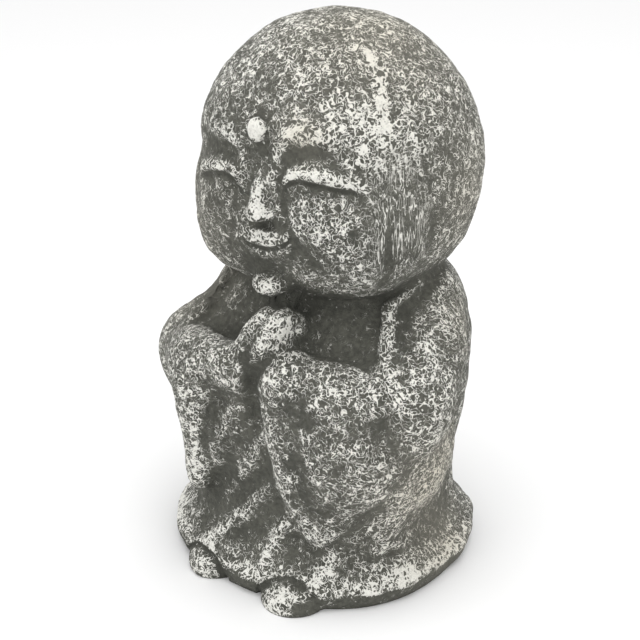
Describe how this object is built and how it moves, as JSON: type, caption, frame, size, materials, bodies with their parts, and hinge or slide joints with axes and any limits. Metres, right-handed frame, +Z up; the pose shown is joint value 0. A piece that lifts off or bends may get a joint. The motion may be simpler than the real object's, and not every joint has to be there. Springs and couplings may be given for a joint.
{
  "type": "monk statue",
  "caption": "Standing child monk with a large round head, palms pressed together, in a wide-sleeved robe, cast in stone as one piece.",
  "frame": {"origin": "on the flat underside, below the middle of the figure", "axes": "+Z up, the face looks along -Y, the figure's left hand side is +X"},
  "size_m": [0.1316, 0.1192, 0.2098],
  "materials": {
    "stone": "rough cast stone, dark grey, dry-brushed off-white on the high points"
  },
  "bodies": {
    "root": {"monk_statue": "stone"}
  },
  "joints": []
}
